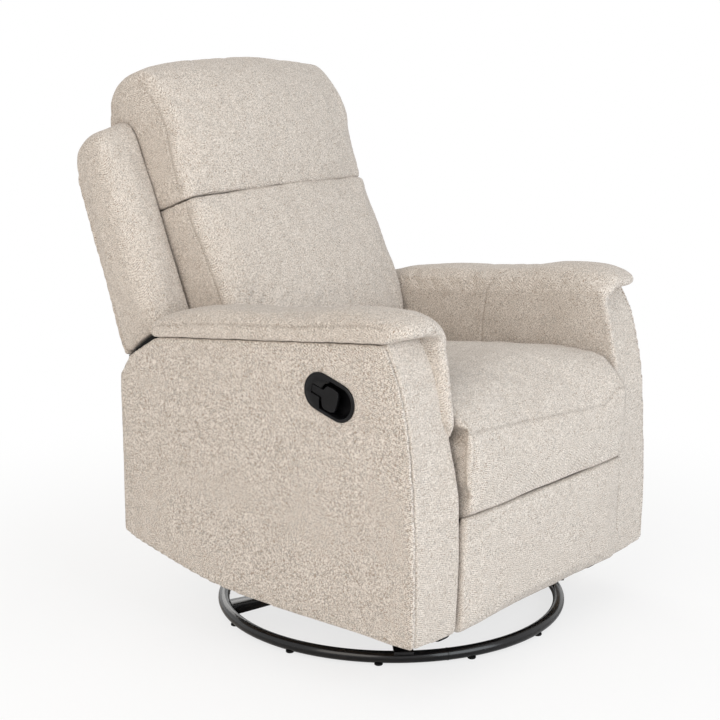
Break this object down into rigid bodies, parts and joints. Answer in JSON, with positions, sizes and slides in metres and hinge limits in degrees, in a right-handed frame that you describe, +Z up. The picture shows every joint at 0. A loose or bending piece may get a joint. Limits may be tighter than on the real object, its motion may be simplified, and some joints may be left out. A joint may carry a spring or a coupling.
{
  "type": "recliner chair",
  "caption": "Upholstered armchair on a round tube base that swivels and glides, with a reclining back, folding footrest, curved arm pads and a recessed release handle.",
  "frame": {"origin": "middle of the chair on the floor, with the back upright, the footrest closed and the glider at rest", "axes": "+Z up, -Y the way the sitter faces, +X the sitter's left; the release handle is on -X"},
  "size_m": [0.7313, 0.8471, 0.9982],
  "materials": {
    "upholstery": "soft oatmeal tweed weave",
    "black_steel": "satin black paint",
    "bare_steel": "plain zinc plated steel",
    "black_plastic": "satin black moulding",
    "rubber": "dull black rubber",
    "timber": "raw plywood"
  },
  "bodies": {
    "base": {"base_frame": "black_steel", "base_glide_01": "rubber", "base_glide_02": "rubber", "base_glide_03": "rubber", "base_glide_04": "rubber", "base_glide_05": "rubber", "base_glide_06": "rubber", "base_glide_07": "rubber", "base_glide_08": "rubber", "base_glide_09": "rubber", "base_glide_10": "rubber", "base_glide_11": "rubber", "base_glide_12": "rubber"},
    "swivel": {"swivel_plate": "black_steel", "glider_bracket_left": "black_steel", "glider_bracket_right": "black_steel"},
    "glide_links_front": {"glide_link_front_left": "bare_steel", "glide_link_front_right": "bare_steel"},
    "glide_links_rear": {"glide_link_rear_left": "bare_steel", "glide_link_rear_right": "bare_steel"},
    "carriage": {"mechanism_plate_left": "black_steel", "mechanism_plate_right": "black_steel", "cross_tube_front": "black_steel", "cross_tube_rear": "black_steel", "seat_frame": "timber", "seat_springs": "bare_steel", "seat_cushion": "upholstery", "arm_outer_panel_left": "upholstery", "arm_inner_panel_left": "upholstery", "arm_frame_left": "timber", "arm_front_panel_left": "upholstery", "arm_pad_left": "upholstery", "arm_outer_panel_right": "upholstery", "arm_inner_panel_right": "upholstery", "arm_frame_right": "timber", "arm_front_panel_right": "upholstery", "arm_pad_right": "upholstery", "rear_lower_panel": "upholstery", "handle_cup": "black_plastic", "release_cable": "black_plastic"},
    "paddle": {"release_paddle": "black_plastic"},
    "backrest": {"back_post_left": "black_steel", "back_post_right": "black_steel", "back_wing_left": "upholstery", "back_wing_right": "upholstery", "back_rear_panel": "upholstery", "back_cushion": "upholstery", "headrest_cushion": "upholstery"},
    "footrest_drive": {"footrest_drive_link_left": "bare_steel", "footrest_drive_link_right": "bare_steel"},
    "footrest_stays": {"footrest_stay_link_left": "bare_steel", "footrest_stay_link_right": "bare_steel"},
    "footrest_extension": {"footrest_extension_link_left": "bare_steel", "footrest_extension_link_right": "bare_steel"},
    "footrest_controls": {"footrest_control_link_left": "bare_steel", "footrest_control_link_right": "bare_steel"},
    "footrest": {"footrest_board": "timber", "footrest_pad": "upholstery", "footrest_bumper_left": "rubber", "footrest_bumper_right": "rubber"}
  },
  "joints": [
    {"name": "swivel_turn", "type": "hinge", "parent": "base", "child": "swivel", "pos_m": [0, -0.068, 0.05], "axis": [0, 0, 1], "continuous": true},
    {"name": "glide_swing", "type": "hinge", "parent": "swivel", "child": "glide_links_front", "pos_m": [0, -0.178, 0.1646], "axis": [1, 0, 0], "range_deg": [-18, 18]},
    {"name": "glide_level", "type": "hinge", "parent": "glide_links_front", "child": "carriage", "pos_m": [0, -0.178, 0.0796], "axis": [1, 0, 0], "range_deg": [-18, 18]},
    {"name": "glide_swing_rear", "type": "hinge", "parent": "swivel", "child": "glide_links_rear", "pos_m": [0, 0.042, 0.1646], "axis": [1, 0, 0], "range_deg": [-18, 18]},
    {"name": "recline", "type": "hinge", "parent": "carriage", "child": "backrest", "pos_m": [0, 0.158, 0.304], "axis": [-1, 0, 0], "range_deg": [0, 30]},
    {"name": "paddle_pull", "type": "hinge", "parent": "carriage", "child": "paddle", "pos_m": [-0.3618, -0.19466, 0.4954], "axis": [0, 0.309, -0.9511], "range_deg": [0, 26], "stiffness_Nm_per_rad": 0.3},
    {"name": "footrest_swing", "type": "hinge", "parent": "carriage", "child": "footrest_drive", "pos_m": [0, -0.283, 0.304], "axis": [-1, 0, 0], "range_deg": [0, 121.6]},
    {"name": "stay_swing", "type": "hinge", "parent": "carriage", "child": "footrest_stays", "pos_m": [0, -0.33468, 0.32281], "axis": [-1, 0, 0], "range_deg": [0, 121.6]},
    {"name": "extension_turn", "type": "hinge", "parent": "footrest_drive", "child": "footrest_extension", "pos_m": [0, -0.17449, 0.15789], "axis": [-1, 0, 0], "range_deg": [-121.6, 0]},
    {"name": "control_turn", "type": "hinge", "parent": "footrest_drive", "child": "footrest_controls", "pos_m": [0, -0.16929, 0.18119], "axis": [-1, 0, 0], "range_deg": [-126.6, 0]},
    {"name": "footrest_turn", "type": "hinge", "parent": "footrest_extension", "child": "footrest", "pos_m": [0, -0.34363, 0.21945], "axis": [-1, 0, 0], "range_deg": [0, 90]}
  ],
  "couplings": [
    {"joint": "glide_level", "follows": "glide_swing", "ratio": -1},
    {"joint": "glide_swing_rear", "follows": "glide_swing", "ratio": 1},
    {"joint": "stay_swing", "follows": "footrest_swing", "ratio": 1},
    {"joint": "extension_turn", "follows": "footrest_swing", "ratio": -1},
    {"joint": "control_turn", "follows": "footrest_swing", "ratio": -1.04},
    {"joint": "footrest_turn", "follows": "footrest_swing", "ratio": 0.74}
  ]
}
